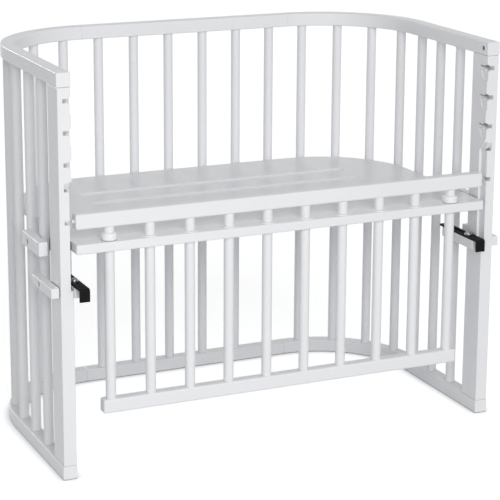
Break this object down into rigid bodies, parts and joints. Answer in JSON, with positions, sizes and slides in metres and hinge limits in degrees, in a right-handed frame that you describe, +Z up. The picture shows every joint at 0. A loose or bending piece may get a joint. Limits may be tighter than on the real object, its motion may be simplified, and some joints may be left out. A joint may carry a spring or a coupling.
{
  "type": "bedside sleeper crib",
  "caption": "Bedside sleeper crib with a barred frame, rounded back corners, a sliding gate, a bed board with air slots and hooks for the parents' bed.",
  "frame": {"origin": "middle of the underside of the whole part's box, on the floor", "axes": "+X to the right seen from the open front, +Y from the open front to the back, +Z up"},
  "size_m": [0.9716, 0.568, 0.79],
  "materials": {
    "white_wood": "white satin lacquer",
    "board_lacquer": "white glossy lacquer",
    "white_plastic": "satin",
    "steel": "zinc plated",
    "black_steel": "black powder coat"
  },
  "bodies": {
    "frame": {"top_rail_back": "white_wood", "top_rail_left": "white_wood", "top_rail_right": "white_wood", "bottom_rail_back": "white_wood", "bottom_rail_left": "white_wood", "bottom_rail_right": "white_wood", "post_left": "white_wood", "post_right": "white_wood", "frame_bar_01": "white_wood", "frame_bar_02": "white_wood", "frame_bar_03": "white_wood", "frame_bar_04": "white_wood", "frame_bar_05": "white_wood", "frame_bar_06": "white_wood", "frame_bar_07": "white_wood", "frame_bar_08": "white_wood", "frame_bar_09": "white_wood", "frame_bar_10": "white_wood", "frame_bar_11": "white_wood", "frame_bar_12": "white_wood", "frame_bar_13": "white_wood", "frame_bar_14": "white_wood", "frame_bar_15": "white_wood", "frame_bar_16": "white_wood", "frame_bar_17": "white_wood", "frame_bar_18": "white_wood", "frame_bar_19": "white_wood", "frame_bar_20": "white_wood", "frame_fasteners": "steel"},
    "bed": {"bed_board": "board_lacquer", "guide_rail": "white_wood", "guide_bushings": "white_plastic", "guide_collars": "white_plastic", "bed_outer_batten_left": "white_wood", "bed_outer_batten_right": "white_wood", "bed_inner_batten_left": "white_wood", "bed_inner_batten_right": "white_wood", "bed_clamp_bolts": "steel"},
    "gate": {"gate_top_rail": "white_wood", "gate_bottom_rail": "white_wood", "gate_bar_01": "white_wood", "gate_bar_02": "white_wood", "gate_bar_03": "white_wood", "gate_bar_04": "white_wood", "gate_bar_05": "white_wood", "gate_bar_06": "white_wood", "gate_bar_07": "white_wood", "gate_bar_08": "white_wood", "gate_bar_09": "white_wood", "gate_bar_10": "white_wood"},
    "latch_left": {"latch_pin_left": "white_plastic"},
    "latch_right": {"latch_pin_right": "white_plastic"},
    "hook_clamp_left": {"hook_outer_batten_left": "white_wood", "hook_inner_batten_left": "white_wood", "hook_fasteners_left": "steel"},
    "hook_clamp_right": {"hook_outer_batten_right": "white_wood", "hook_inner_batten_right": "white_wood", "hook_fasteners_right": "steel"},
    "hook_strap_left_body": {"hook_strap_left": "black_steel"},
    "hook_strap_right_body": {"hook_strap_right": "black_steel"}
  },
  "joints": [
    {"name": "gate_lift", "type": "slide", "parent": "frame", "child": "gate", "axis": [0, 0, 1], "range_m": [0, 0.23]},
    {"name": "latch_left_out", "type": "slide", "parent": "gate", "child": "latch_left", "axis": [-1, 0, 0], "range_m": [0, 0.013]},
    {"name": "latch_right_out", "type": "slide", "parent": "gate", "child": "latch_right", "axis": [1, 0, 0], "range_m": [0, 0.013]},
    {"name": "bed_height", "type": "slide", "parent": "frame", "child": "bed", "axis": [0, 0, 1], "range_m": [-0.035, 0.01]},
    {"name": "hook_left_height", "type": "slide", "parent": "frame", "child": "hook_clamp_left", "axis": [0, 0, 1], "range_m": [-0.2, 0]},
    {"name": "hook_right_height", "type": "slide", "parent": "frame", "child": "hook_clamp_right", "axis": [0, 0, 1], "range_m": [-0.2, 0]},
    {"name": "hook_left_reach", "type": "slide", "parent": "hook_clamp_left", "child": "hook_strap_left_body", "axis": [0, -1, 0], "range_m": [-0.012, 0.05]},
    {"name": "hook_right_reach", "type": "slide", "parent": "hook_clamp_right", "child": "hook_strap_right_body", "axis": [0, -1, 0], "range_m": [-0.002, 0.06]}
  ]
}
